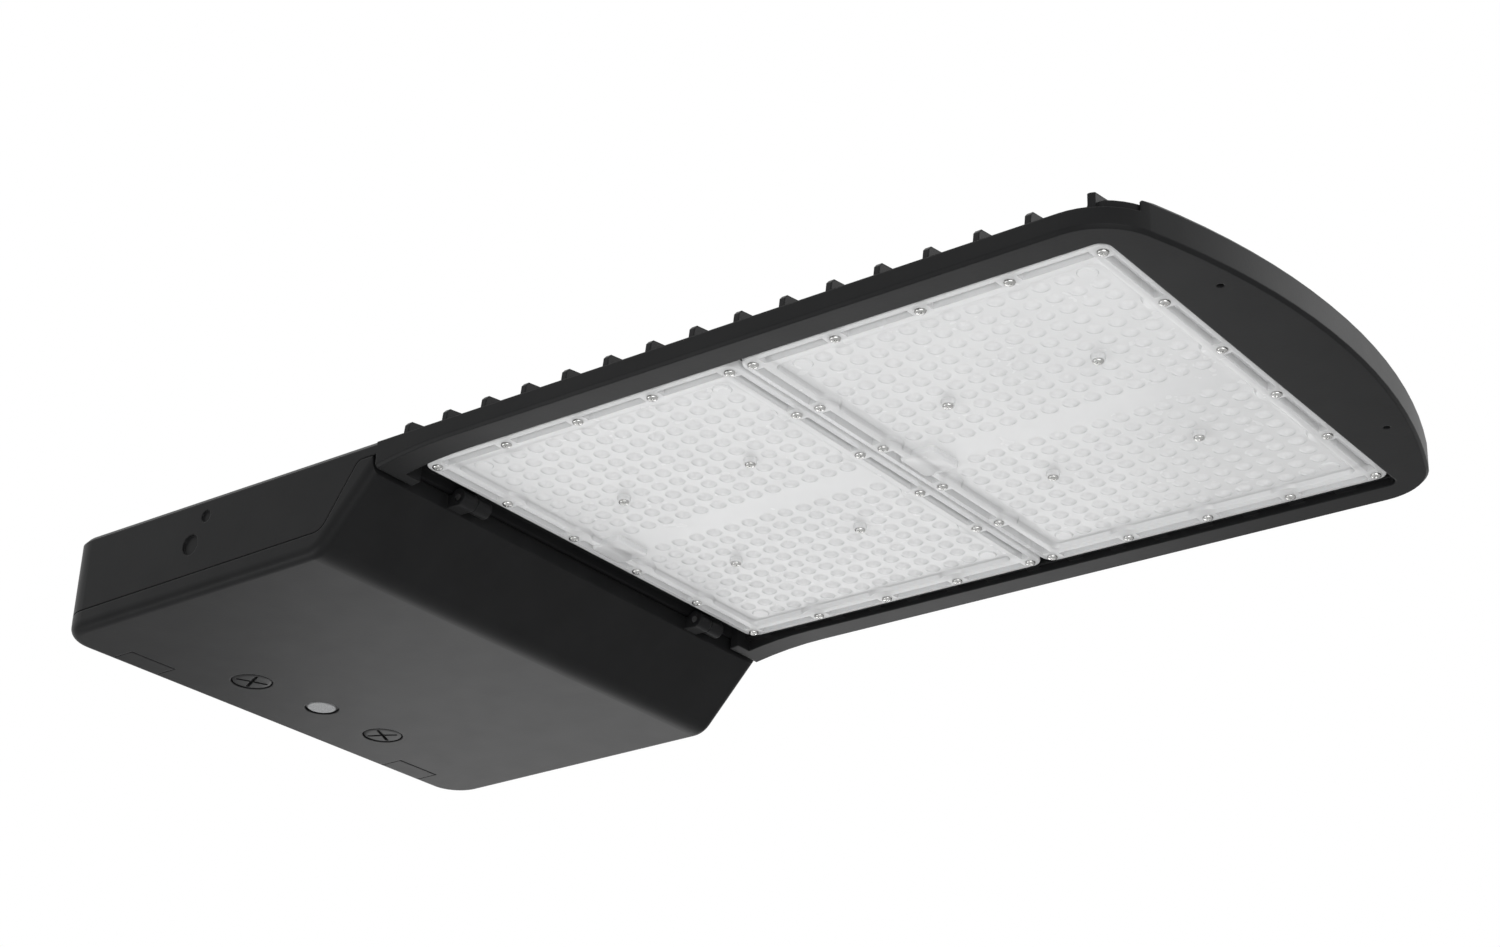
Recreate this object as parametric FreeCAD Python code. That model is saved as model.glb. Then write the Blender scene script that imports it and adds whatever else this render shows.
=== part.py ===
import FreeCAD, Part
import os
from math import sqrt, sin, cos, tan, acos, atan, pi
from FreeCAD import Vector

# Slim pole-mounted area light, seen as it hangs: optics facing down, driver box at the rear.
# Drawing datum: X = 0 is the rear mounting face and +X runs to the nose, Y = 0 is the centre
# plane, Z = 0 is the lower face of the optics rim.  Every piece is lifted by MOUNT_DROP when it
# is written, so the part's origin is the centre of the rear bolt pattern.

# ---- driving dimensions, millimetres ----
LENGTH = 725.0              # rear face to the tip of the nose
HALF_WIDTH = 167.0
MOUNT_DROP = 12.0           # rim face above the bolt pattern's centre

NOSE_RADIUS = 430.0         # plan radius of the nose
NOSE_CORNER = 35.0          # plan radius where the sides meet the nose
REAR_CORNER = 22.0          # plan radius of the driver box's rear corners

BOX_FRONT = 250.0           # driver box ends and the head begins
BOX_WALL = 4.0
BOX_CROWN = 27.0            # top of the driver box on the centre plane
BOX_CROWN_RADIUS = 880.0
ROOF_CHAMFER = 2.5
SIDE_DIMPLES = [(108.9, -15.3, 6.0, 1.5), (119.2, -0.3, 3.5, 1.2)]   # x, z, radius, depth
BULKHEAD_REAR = 234.0       # rear face of the wall between box and head

RIM_TOP = 10.3              # top of the head's side wall
RIM_CHAMFER = 1.6
PLATE_BOTTOM = 9.0          # the optics are screwed to this face
PLATE_TOP = 14.0
PLATE_HALF = 147.2
RECESS_HALF = 150.0         # inside of the rim
LEDGE_FACE = 3.0            # ledge between the optics and the rim, with the air slots in it
LEDGE_HALF = 145.8
RECESS_FRONT = 681.0
RECESS_REAR = 256.0
REAR_STRIP_HALF = 139.0     # inside of the rim beside the hinges
FLARE_END = 300.0           # the rim turns down towards the box from here
FLARE_DROP = 4.5

FIN_COUNT = 15
FIN_FIRST = 268.4
FIN_PITCH = 27.27
FIN_LAST = 681.5            # one more fin, under the hood's rear edge
FIN_THICK = 3.2
FIN_CROWN = 29.5            # fin height on the centre plane
FIN_CROWN_RADIUS = 1198.0
FIN_HALF = 165.0
FIN_LEAN = 0.8              # a fin's end leans in by this much
FIN_CORNER = 1.8            # chamfer at the top of a fin's end
WEB_HALF = 4.4              # webs between the air slots, centred on the fins
LAST_WEB = (645.5, 657.5)
LAST_SLOT_END = 676.5

WEEP_HOLE = (703.7, 86.5)   # drain holes under the nose
HOOD_REAR = 698.0           # raised nose hood
HOOD_EDGE = 17.5
HOOD_CHAMFER = 1.8
HOOD_RISE = 0.444           # height gained per millimetre inward from the nose
HOOD_BREAK = 2.0            # chamfer on its rear top edge
HOOD_ROUND = 4.0            # the same edge is rounded where it meets the sides

SEAM = [(0.0, -35.2), (213.3, -32.0), (236.9, 3.1), (262.0, 3.1)]
SEAM_BENDS = (10.0, 6.0)
SEAM_GAP = 0.3              # each side of the seam line
DOOR_FRONT = 247.5
DOOR_LINE = [(0.0, -47.0), (211.7, -44.8), (247.5, -6.2)]
DOOR_BEND = 16.0
DOOR_WALL = 3.2
DOOR_SIDE = 3.5
DOOR_EDGE_ROUND = 6.0
LEDGE_DEPTH = 4.0           # gasket ledge below the seam
DOOR_RIBS = (-86.0, 0.0, 86.0)

HINGE_X = 255.0
HINGE_Z = -0.5
HINGE_RADIUS = 5.0
HINGE_PIN = 2.0
HINGE_RUN = 0.05            # radial clearance of the door's knuckles
HINGE_GAPS = (-98.0, 108.0)  # where each pair of knuckles meets
KNUCKLE = 11.0
PIN_SET_IN = 0.4            # the pin's ends stay inside the knuckles

TURN_X = 44.0               # quarter-turn fasteners in the door
TURN_Y = 55.0
TURN_HEAD = 12.0
TURN_STEM = 4.0
TURN_SQUARE = 5.6           # end of the stem, keyed into the pawl
TURN_RUN = 0.05
TURN_SIDES = 24             # facets of the head, the stem and their bores
PAWL_REACH = 22.0
PAWL_BOTTOM = -28.0
PAWL_THICK = 3.0
KEEPER_GAP = 0.5            # pawl above its keeper
KEEPER_THICK = 2.0
KEEPER_HALF = 8.0
KEEPER_SHELF = 14.0         # the cast shelf reaches this far from the rear face
KEEPER_REACH = 35.5

VENT_X = 46.5
VENT_RADIUS = 10.3
VENT_DISC = 8.5
VENT_SEAT = -41.5
VENT_BOSS = -40.0
VENT_SIDES = 24

LATCH_Y = 111.0             # spring tabs on the door's rear edge
LATCH_HALF = 16.0
LATCH_PIVOT = (19.6, -45.3)
LATCH_PIN = 0.75
LATCH_TOP = -40.0           # top of the tab's leg on the rear face
LATCH_THICK = 3.0
LATCH_GAP = 0.5

MODULE_CENTRES = {"rear": 365.5, "front": 575.5}
MODULE_HALF = (104.0, 145.0)
MODULE_CORNER = 8.0
FIELD_HALF = (91.0, 131.5)
LENS_FACE = 2.5
FIELD_FACE = 5.2
FIELD_BACK = 6.8
FLANGE_BACK = 7.5
BOSS_RADIUS = 9.5           # flange bosses round the lens screws
GROOVE_TOP = 6.5            # channels in the flange between the bosses
SIDE_GROOVE = (136.5, 141.5, 19.0)   # from, to, half length
END_GROOVE = (95.6, 100.4, 22.0)
SPACE_HALF = (89.5, 130.0)  # hollow behind the field, over the board
BOARD_HALF = (88.0, 128.0)
SEAL_OUTER = (95.5, 136.0)
SEAL_WIDTH = 3.0
WIRE_BUMP = (-98.0, -79.0, 13.0, 1.8)   # from, to, half width, face
SCREW_PAD = 3.5             # raised round each board screw
CORNER_PAD = (80.0, 122.0, 5.0, 0.8)    # x, y, radius, height
SCREW_X = 97.8
SCREW_Y = 138.7
SCREW_STEP_X = 48.9
SCREW_STEP_Y = 55.5
BOARD_SCREW = (43.0, 50.0)

DRIVER_Y = 118.0
DRIVER_HALF = (98.0, 30.0)
DRIVER_X = 128.0
DRIVER_HEIGHT = 36.0
GROUND_SCREW = (62.0, 0.0)
GROUND_SEAT = 14.0
PAD_FACE = 7.0              # underside of the cast pads that carry the electrics
CENTRE_PADS = (85.0, 165.0)  # pads for the terminal block and the surge protector
TERMINAL_SIZE = (18.0, 54.0, 20.0)
WIRE_PITCH = 18.0
SURGE_SIZE = (50.0, 44.0, 26.0)

MOUNT_SPACING = 64.0        # between the two rear mounting holes
MOUNT_HOLE = 5.25
WIRE_HOLE = 11.0
MOUNT_PAD = 8.0             # rear wall thickness at the mount

BIG = 80.0                  # larger than the part is tall


# ---- drawing helpers ----
def span(x0, x1, y0, y1, z0, z1):
    """Block between two corners."""
    return Part.makeBox(x1 - x0, y1 - y0, z1 - z0, Vector(x0, y0, z0))


def post(x, y, z0, z1, radius):
    """Upright cylinder."""
    return Part.makeCylinder(radius, z1 - z0, Vector(x, y, z0))


def rod(x, z, y0, y1, radius):
    """Cylinder across the light."""
    return Part.makeCylinder(radius, y1 - y0, Vector(x, y0, z), Vector(0, 1, 0))


def prism(x, y, z0, z1, radius, sides=8):
    """Upright many-sided post, for small repeated details; radius is to its flats."""
    reach = radius / cos(pi / sides)
    turns = [(i + 0.5) * 2 * pi / sides for i in range(sides + 1)]
    ring_points = [Vector(x + reach * cos(a), y + reach * sin(a), z0) for a in turns]
    return Part.Face(Part.makePolygon(ring_points)).extrude(Vector(0, 0, z1 - z0))


def cross_prism(x, z, y0, y1, radius, sides):
    """Many-sided rod across the light; radius is to its flats."""
    solid = prism(0, 0, 0, y1 - y0, radius, sides)
    solid.rotate(Vector(0, 0, 0), Vector(1, 0, 0), -90)
    solid.translate(Vector(x, y0, z))
    return solid


def rounded_face(corners):
    """Face whose corners are (point, radius); a radius of 0 stays sharp."""
    edges, first, last = [], None, None
    count = len(corners)
    for i, (here, radius) in enumerate(corners):
        back = (corners[i - 1][0] - here).normalize()
        ahead = (corners[(i + 1) % count][0] - here).normalize()
        start = end = here
        arc = None
        if radius > 0:
            half = acos(max(-1.0, min(1.0, back.dot(ahead)))) / 2
            start = here + back * (radius / tan(half))
            end = here + ahead * (radius / tan(half))
            middle = here + (back + ahead).normalize() * (radius / sin(half) - radius)
            arc = Part.Arc(start, middle, end).toShape()
        if last is None:
            first = start
        else:
            edges.append(Part.makeLine(last, start))
        if arc:
            edges.append(arc)
        last = end
    edges.append(Part.makeLine(last, first))
    return Part.Face(Part.Wire(edges))


def side_prism(corners, half):
    """Side-view outline of (x, z, radius) corners, carried across the full width."""
    face = rounded_face([(Vector(x, -half, z), r) for x, z, r in corners])
    return face.extrude(Vector(0, 2 * half, 0))


def plan_prism(corners, z0, z1):
    """Plan outline of (x, y, radius) corners, carried upwards."""
    face = rounded_face([(Vector(x, y, z0), r) for x, y, r in corners])
    return face.extrude(Vector(0, 0, z1 - z0))


def offset_line(points, lift):
    """Polyline moved sideways by lift, upwards for a line that runs to +X."""
    moved = []
    for (x0, z0), (x1, z1) in zip(points, points[1:]):
        run, rise = x1 - x0, z1 - z0
        size = sqrt(run * run + rise * rise)
        nx, nz = -rise / size * lift, run / size * lift
        moved.append(((x0 + nx, z0 + nz), (run, rise)))
    result = [moved[0][0]]
    for (p, d), (q, e) in zip(moved, moved[1:]):
        cross = d[0] * e[1] - d[1] * e[0]
        t = ((q[0] - p[0]) * e[1] - (q[1] - p[1]) * e[0]) / cross
        result.append((p[0] + d[0] * t, p[1] + d[1] * t))
    p, d = moved[-1]
    result.append((p[0] + d[0], p[1] + d[1]))
    return result


def seam_corners(lift):
    """Seam between door and box, moved up by lift, with its two bends."""
    line = offset_line(SEAM, lift)
    radii = (0, SEAM_BENDS[0] - lift, SEAM_BENDS[1] + lift, 0)
    return [(x, z, r) for (x, z), r in zip(line, radii)]


def seam_strip(low, high):
    """Band that follows the seam between two offsets."""
    return side_prism(seam_corners(low) + seam_corners(high)[::-1], HALF_WIDTH)


def door_bottom(x):
    """Height of the door's flat underside at x."""
    (x0, z0), (x1, z1) = DOOR_LINE[:2]
    return z0 + (z1 - z0) * (x - x0) / (x1 - x0)


def door_front(x, line=DOOR_LINE):
    """Height of the door's sloping front at x."""
    (x0, z0), (x1, z1) = line[1:]
    return z0 + (z1 - z0) * (x - x0) / (x1 - x0)


def box_plan(inset, front, z0=-BIG, z1=BIG):
    """Driver box in plan, rounded at its rear corners only."""
    half = HALF_WIDTH - inset
    corner = REAR_CORNER - inset
    return plan_prism([(inset, -half, corner), (front, -half, 0),
                       (front, half, 0), (inset, half, corner)], z0, z1)


def head_plan(inset, z0, z1):
    """Head in plan: straight sides, corner arcs and the nose arc."""
    half = HALF_WIDTH - inset
    hub = LENGTH - NOSE_RADIUS
    side = HALF_WIDTH - NOSE_CORNER
    reach = NOSE_RADIUS - NOSE_CORNER
    corner_x = hub + sqrt(reach * reach - side * side)
    radius = NOSE_CORNER - inset
    toward = Vector(corner_x - hub, side, 0).normalize()
    middle = (toward + Vector(0, 1, 0)).normalize()
    mirror = Vector(1, -1, 1)

    def flip(p):
        return Vector(p.x * mirror.x, p.y * mirror.y, p.z * mirror.z)

    centre = Vector(corner_x, side, 0)
    side_end = centre + Vector(0, 1, 0) * radius
    bulge = centre + middle * radius
    nose_end = centre + toward * radius
    rear = Vector(BOX_FRONT, half, 0)
    edges = [Part.makeLine(flip(rear), flip(side_end)),
             Part.Arc(flip(side_end), flip(bulge), flip(nose_end)).toShape(),
             Part.Arc(flip(nose_end), Vector(LENGTH - inset, 0, 0), nose_end).toShape(),
             Part.Arc(nose_end, bulge, side_end).toShape(),
             Part.makeLine(side_end, rear),
             Part.makeLine(rear, flip(rear))]
    face = Part.Face(Part.Wire(edges))
    face.translate(Vector(0, 0, z0))
    return face.extrude(Vector(0, 0, z1 - z0))


def crown(x0, x1, top, radius):
    """Solid under a roof that is arched across the light."""
    drum = Part.makeCylinder(radius, x1 - x0, Vector(x0, 0, top - radius), Vector(1, 0, 0))
    return drum.common(span(x0, x1, -HALF_WIDTH - 5, HALF_WIDTH + 5, -BIG, BIG))


def edges_where(shape, test):
    """Edges whose middle point passes the test."""
    found = []
    for edge in shape.Edges:
        middle = edge.valueAt((edge.FirstParameter + edge.LastParameter) / 2)
        if test(middle):
            found.append(edge)
    return found


def on_box_outline(p):
    """True on the driver box's outer wall, seen in plan."""
    corner = HALF_WIDTH - REAR_CORNER
    if p.x < REAR_CORNER and abs(p.y) > corner:
        away = sqrt((p.x - REAR_CORNER) ** 2 + (abs(p.y) - corner) ** 2)
        return abs(away - REAR_CORNER) < 0.3
    return abs(p.x) < 0.3 or abs(abs(p.y) - HALF_WIDTH) < 0.1


def ring(outer, inner):
    return outer.cut(inner)


# ---- housing ----
def box_shell():
    """Open-bottomed driver box with its sealing flange."""
    above = side_prism(seam_corners(SEAM_GAP) + [(262.0, BIG, 0), (0.0, BIG, 0)], HALF_WIDTH)
    outer = box_plan(0, BOX_FRONT).common(above)
    outer = outer.common(crown(-1, BOX_FRONT + 1, BOX_CROWN, BOX_CROWN_RADIUS))
    rim = edges_where(outer, lambda p: p.z > 8 and on_box_outline(p) and p.x < BOX_FRONT - 1)
    outer = outer.makeChamfer(ROOF_CHAMFER, [e for e in rim if abs(e.BoundBox.ZLength) < 18])
    roof = crown(-1, BOX_FRONT, BOX_CROWN - BOX_WALL, BOX_CROWN_RADIUS - BOX_WALL)
    shell = outer.cut(box_plan(BOX_WALL, BULKHEAD_REAR).common(roof))
    flange = ring(box_plan(BOX_WALL - 0.1, BULKHEAD_REAR + 2), box_plan(8.5, BULKHEAD_REAR - 4))
    return shell.fuse(flange.common(seam_strip(SEAM_GAP, SEAM_GAP + BOX_WALL)))


def rim_and_plate():
    """Rim round the optics and the plate above them."""
    drop = FLARE_DROP
    run = FLARE_END - BOX_FRONT
    radius = (run * run + drop * drop) / (2 * drop)
    half_way = run / 2
    sag = radius - sqrt(radius * radius - half_way * half_way)
    corners = [Vector(BOX_FRONT, -HALF_WIDTH, RIM_TOP), Vector(BOX_FRONT, -HALF_WIDTH, -drop),
               Vector(FLARE_END - half_way, -HALF_WIDTH, -sag), Vector(FLARE_END, -HALF_WIDTH, 0),
               Vector(LENGTH, -HALF_WIDTH, 0), Vector(LENGTH, -HALF_WIDTH, RIM_TOP)]
    edges = [Part.makeLine(corners[0], corners[1]),
             Part.Arc(corners[1], corners[2], corners[3]).toShape(),
             Part.makeLine(corners[3], corners[4]), Part.makeLine(corners[4], corners[5]),
             Part.makeLine(corners[5], corners[0])]
    side = Part.Face(Part.Wire(edges)).extrude(Vector(0, 2 * HALF_WIDTH, 0))
    solid = head_plan(0, -drop, RIM_TOP).common(side)
    lower = edges_where(solid, lambda p: p.z < 0.5 and p.x > BOX_FRONT + 1
                        and not (abs(p.y) < HALF_WIDTH - 1 and p.x < LENGTH - 60))
    solid = solid.makeChamfer(RIM_CHAMFER, lower)
    recess = plan_prism([(RECESS_REAR, -RECESS_HALF, 0), (RECESS_FRONT, -RECESS_HALF, 6),
                         (RECESS_FRONT, RECESS_HALF, 6), (RECESS_REAR, RECESS_HALF, 0)],
                        -BIG, BIG)
    gate = span(BOX_FRONT - 1, RECESS_REAR + 1, -REAR_STRIP_HALF, REAR_STRIP_HALF, -BIG, BIG)
    solid = solid.cut(recess).cut(gate)
    plate = span(BOX_FRONT, RECESS_FRONT + 1, -PLATE_HALF, PLATE_HALF, PLATE_BOTTOM, PLATE_TOP)
    nose = head_plan(1.0, PLATE_BOTTOM, PLATE_TOP)
    nose = nose.common(span(RECESS_FRONT - 3, LENGTH, -BIG * 2, BIG * 2, -BIG, BIG))
    return solid.multiFuse([plate, nose])


def air_ledges():
    """Ledge on each side of the optics, with webs that carry the rim between the air slots."""
    centres = [FIN_FIRST + k * FIN_PITCH for k in range(1, FIN_COUNT - 1)]
    webs = [(BOX_FRONT, FIN_FIRST + WEB_HALF)] + [(x - WEB_HALF, x + WEB_HALF) for x in centres]
    webs += [LAST_WEB, (LAST_SLOT_END, RECESS_FRONT + 1)]
    pieces = []
    for side in (-1, 1):
        low, high = sorted((side * LEDGE_HALF, side * PLATE_HALF))
        pieces.append(span(RECESS_REAR, RECESS_FRONT + 1, low, high, LEDGE_FACE, PLATE_TOP))
        low, high = sorted((side * (PLATE_HALF - 1), side * (RECESS_HALF + 1)))
        pieces += [span(x0, x1, low, high, LEDGE_FACE, RIM_TOP) for x0, x1 in webs]
    return pieces


def fin(x):
    """One cross fin with an arched top and leaning ends."""
    def arch(y):
        return sqrt(FIN_CROWN_RADIUS ** 2 - y * y) - FIN_CROWN_RADIUS + FIN_CROWN

    tip = FIN_HALF - FIN_LEAN
    shoulder = tip - FIN_CORNER
    rear = x - FIN_THICK / 2
    left = [Vector(rear, -FIN_HALF, RIM_TOP - 1), Vector(rear, -tip, arch(tip) - FIN_CORNER),
            Vector(rear, -shoulder, arch(shoulder))]
    right = [Vector(rear, -p.y, p.z) for p in reversed(left)]
    edges = [Part.makePolygon(left), Part.Arc(left[2], Vector(rear, 0, FIN_CROWN), right[0]).toShape(),
             Part.makePolygon(right), Part.makeLine(right[2], left[0])]
    outline = Part.Wire([e for piece in edges for e in piece.Edges])
    return Part.Face(outline).extrude(Vector(FIN_THICK, 0, 0))


def fins():
    """Evenly spaced cross fins and the last one, which follows the nose in plan."""
    pieces = [fin(FIN_FIRST + k * FIN_PITCH) for k in range(FIN_COUNT)]
    return pieces + [fin(FIN_LAST).common(head_plan(RIM_CHAMFER, 0, BIG))]


def hood():
    """Raised nose: a cone ring that follows the nose radius, rounded at its two rear corners."""
    hub = LENGTH - NOSE_RADIUS
    inner = NOSE_RADIUS - 50.0
    side_start = sqrt((NOSE_RADIUS - HOOD_CHAMFER) ** 2 - (HOOD_REAR - hub) ** 2)
    corners = [(Vector(hub + inner, 0, PLATE_BOTTOM), 0),
               (Vector(hub + NOSE_RADIUS, 0, PLATE_BOTTOM), 0),
               (Vector(hub + NOSE_RADIUS, 0, HOOD_EDGE - HOOD_CHAMFER), 0),
               (Vector(hub + NOSE_RADIUS - HOOD_CHAMFER, 0, HOOD_EDGE + 0.4), 0),
               (Vector(hub + inner, 0, HOOD_EDGE + 50.0 * HOOD_RISE), 0)]
    sweep = 60.0
    body = rounded_face(corners)
    body.rotate(Vector(hub, 0, 0), Vector(0, 0, 1), -sweep / 2)
    body = body.revolve(Vector(hub, 0, 0), Vector(0, 0, 1), sweep)
    body = body.common(span(HOOD_REAR, LENGTH + 1, -BIG * 2, BIG * 2, 0, BIG))
    body = body.makeChamfer(HOOD_BREAK, edges_where(body, lambda p: p.x < HOOD_REAR + 0.1
                                                    and p.z > HOOD_EDGE))
    for side in (-1, 1):
        low, high = sorted((side * side_start, side * HALF_WIDTH))
        arc_x, arc_z = HOOD_REAR + HOOD_ROUND, HOOD_EDGE + 0.4 - HOOD_ROUND
        corner = span(HOOD_REAR - 1, arc_x, low, high, arc_z, HOOD_EDGE + 1)
        body = body.cut(corner.cut(cross_prism(arc_x, arc_z, low, high, HOOD_ROUND, 16)))
    return body.common(head_plan(0, 0, BIG))


def housing_knuckles():
    pieces = []
    for gap in HINGE_GAPS:
        y0, y1 = gap + 0.2, gap + KNUCKLE
        pieces.append(rod(HINGE_X, HINGE_Z, y0, y1, HINGE_RADIUS))
        pieces.append(side_web(HINGE_X - 3.6, HINGE_X + 3.6, y0, y1))
    return pieces


def side_web(x0, x1, y0, y1):
    return span(x0, x1, y0, y1, HINGE_Z, PLATE_BOTTOM + 1)


def box_furniture():
    """Cast pads inside the driver box."""
    pieces = []
    for side in (-1, 1):
        y = side * TURN_Y
        pieces.append(span(BOX_WALL - 1, KEEPER_SHELF, y - KEEPER_HALF, y + KEEPER_HALF,
                           PAWL_BOTTOM - KEEPER_GAP, PAWL_BOTTOM + 12))
        for end in (-1, 1):
            x = DRIVER_X + end * (DRIVER_HALF[0] - 7)
            low, high = sorted((side * (DRIVER_Y - 30), side * (DRIVER_Y + 30)))
            pieces.append(span(x - 7, x + 7, low, high, PAD_FACE, BOX_CROWN - BOX_WALL))
    for x in CENTRE_PADS:
        pieces.append(span(x - 10, x + 10, -30, 30, PAD_FACE, BOX_CROWN - 1))
    half = MOUNT_SPACING / 2 + 11
    pieces.append(span(BOX_WALL - 1, MOUNT_PAD, -half, half, -25, 12))
    pieces.append(prism(*GROUND_SCREW, GROUND_SEAT, BOX_CROWN, 6))
    roof = crown(0, BOX_FRONT, BOX_CROWN - 1, BOX_CROWN_RADIUS - 1)
    return [piece.common(roof) for piece in pieces]


def housing_cuts():
    """Holes and dimples of the casting."""
    cuts = []
    for y in (-MOUNT_SPACING / 2, MOUNT_SPACING / 2):
        cuts.append(Part.makeCylinder(MOUNT_HOLE, MOUNT_PAD + 2, Vector(-1, y, -MOUNT_DROP),
                                      Vector(1, 0, 0)))
    cuts.append(Part.makeCylinder(WIRE_HOLE, MOUNT_PAD + 2, Vector(-1, 0, -MOUNT_DROP),
                                  Vector(1, 0, 0)))
    for side in (-1, 1):
        for x, z, radius, depth in SIDE_DIMPLES:
            y = side * HALF_WIDTH
            cuts.append(cross_prism(x, z, y - depth, y + depth, radius, 12))
        cuts.append(prism(*WEEP_HOLE[:1], side * WEEP_HOLE[1], -1, 4, 1.75))
    for gap in HINGE_GAPS:
        cuts.append(rod(HINGE_X, HINGE_Z, gap - 1, gap + KNUCKLE + 1, HINGE_PIN))
    return cuts


def housing():
    head = [rim_and_plate(), hood()] + air_ledges() + fins()
    body = box_shell().multiFuse(head + housing_knuckles() + box_furniture())
    return body.cut(housing_cuts()).removeSplitter()


# ---- door ----
def door_solid():
    """Outer form of the door before it is hollowed."""
    top = seam_corners(-SEAM_GAP)
    beyond = DOOR_FRONT + 20
    low = [(beyond, door_front(beyond), 0), (*DOOR_LINE[1], DOOR_BEND), (*DOOR_LINE[0], 0)]
    walls = box_plan(0, DOOR_FRONT + 5)
    (x0, z0), (x1, z1) = DOOR_LINE[:2]
    walls.rotate(Vector(0, 0, SEAM[0][1]), Vector(0, 1, 0), -atan((z1 - z0) / (x1 - x0)) * 180 / pi)
    solid = side_prism(top + low, HALF_WIDTH).common(walls)
    solid = solid.common(span(-5, DOOR_FRONT, -BIG * 3, BIG * 3, -BIG, BIG))
    bend_x, bend_z = DOOR_LINE[1]

    def lower(p):
        near = abs(p.z - max(door_bottom(min(p.x, bend_x)), door_front(p.x))) < 2.0
        return near and on_box_outline(p) and (p.z < bend_z + 1 or p.x > bend_x - 7)

    return solid.makeFillet(DOOR_EDGE_ROUND, edges_where(solid, lower))


def door():
    form = door_solid()
    inner = offset_line(DOOR_LINE, DOOR_WALL)
    beyond = DOOR_FRONT + 30
    floor = [(*inner[0], 0), (*inner[1], DOOR_BEND - DOOR_WALL),
             (beyond, door_front(beyond, inner), 0), (beyond, BIG, 0), (0.0, BIG, 0)]
    hollow = side_prism(floor, HALF_WIDTH).common(box_plan(DOOR_SIDE, DOOR_FRONT - DOOR_SIDE))
    body = form.cut(hollow)
    ledge = ring(box_plan(DOOR_SIDE - 0.1, DOOR_FRONT - DOOR_SIDE + 0.1),
                 box_plan(8.5, DOOR_FRONT - 8.5))
    adds = [ledge.common(seam_strip(-LEDGE_DEPTH - 3, -LEDGE_DEPTH))]
    cuts = []
    for side in (-1, 1):
        y = side * TURN_Y
        adds.append(prism(TURN_X, y, door_bottom(TURN_X) + 1, -38, TURN_HEAD + 3))
        cuts.append(prism(TURN_X, y, -50, door_bottom(TURN_X) + 2.7, TURN_HEAD + 0.4, TURN_SIDES))
        cuts.append(prism(TURN_X, y, -50, -30, TURN_STEM + TURN_RUN, TURN_SIDES))
        low, high = sorted((side * (LATCH_Y - 20), side * (LATCH_Y + 20)))
        adds.append(span(3, 26, low, high, -45.5, LATCH_TOP + 0.7))
        cuts += latch_pocket(side)
    adds.append(prism(VENT_X, 0, door_bottom(VENT_X) + 1, VENT_BOSS, VENT_RADIUS + 3))
    cuts.append(prism(VENT_X, 0, -50, -30, VENT_RADIUS, VENT_SIDES))
    for y in DOOR_RIBS:
        adds.append(span(72, 206, y - 1, y + 1, -43.5, -40.0))
    for gap in HINGE_GAPS:
        adds.append(rod(HINGE_X, HINGE_Z, gap - KNUCKLE, gap - 0.2, HINGE_RADIUS))
        adds.append(span(DOOR_FRONT - 2, HINGE_X, gap - KNUCKLE, gap - 0.2, -5.3, 2.0))
        cuts.append(rod(HINGE_X, HINGE_Z, gap - KNUCKLE - 1, gap, HINGE_PIN + HINGE_RUN))
    return body.multiFuse(adds).cut(cuts).removeSplitter()


def latch_pocket(side):
    """Space in the door for one latch tab."""
    y = side * LATCH_Y
    half = LATCH_HALF + LATCH_GAP
    px, pz = LATCH_PIVOT
    lift = LATCH_THICK / 2 + LATCH_GAP
    return [span(-1, px, y - half, y + half, -50, pz + lift),
            rod(px, pz, y - half, y + half, lift),
            span(px - 1, px + lift, y - half, y + half, -50, pz),
            span(-1, 2.6 + LATCH_GAP, y - half, y + half, -50, LATCH_TOP + LATCH_GAP)]


def latch_tab(side):
    """Tab that turns down about a pin at its front edge."""
    y = side * LATCH_Y
    px, pz = LATCH_PIVOT
    leaf = span(0, px, y - LATCH_HALF, y + LATCH_HALF, pz - 3, pz + LATCH_THICK / 2)
    leg = span(0, 2.6, y - LATCH_HALF, y + LATCH_HALF, pz - 3, LATCH_TOP)
    barrel = cross_prism(px, pz, y - LATCH_HALF, y + LATCH_HALF, LATCH_THICK / 2, 12)
    body = leaf.fuse(leg).common(door_solid()).fuse(barrel)
    bore = cross_prism(px, pz, y - LATCH_HALF - 1, y + LATCH_HALF + 1, LATCH_PIN + 0.1, 12)
    return body.cut(bore).removeSplitter()


def latch_pin(side):
    y = side * LATCH_Y
    px, pz = LATCH_PIVOT
    return cross_prism(px, pz, y - LATCH_HALF - 2.5, y + LATCH_HALF + 2.5, LATCH_PIN, 8)


def door_gasket():
    """Seal in the door's ledge, bent along with the seam."""
    loop = ring(box_plan(DOOR_SIDE + 0.5, DOOR_FRONT - 4), box_plan(8.0, DOOR_FRONT - 8))
    return loop.common(seam_strip(-LEDGE_DEPTH, -SEAM_GAP)).removeSplitter()


def quarter_turn(side):
    """Flush head with a cross slot, and its stem."""
    y = side * TURN_Y
    face = door_bottom(TURN_X)
    body = prism(TURN_X, y, face, face + 2.6, TURN_HEAD - 0.1, TURN_SIDES)
    body = body.fuse(prism(TURN_X, y, face + 2.6, PAWL_BOTTOM - 3, TURN_STEM, TURN_SIDES))
    half = TURN_SQUARE / 2
    body = body.fuse(span(TURN_X - half, TURN_X + half, y - half, y + half, PAWL_BOTTOM - 3,
                          PAWL_BOTTOM + PAWL_THICK + 1))
    cross = []
    for turn in (0, 90):
        slot = span(-8, 8, -1, 1, face - 1, face + 1.7)
        slot.rotate(Vector(0, 0, 0), Vector(0, 0, 1), side * 26 + turn)
        slot.translate(Vector(TURN_X, y, 0))
        cross.append(slot)
    return body.cut(cross).removeSplitter()


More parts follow.
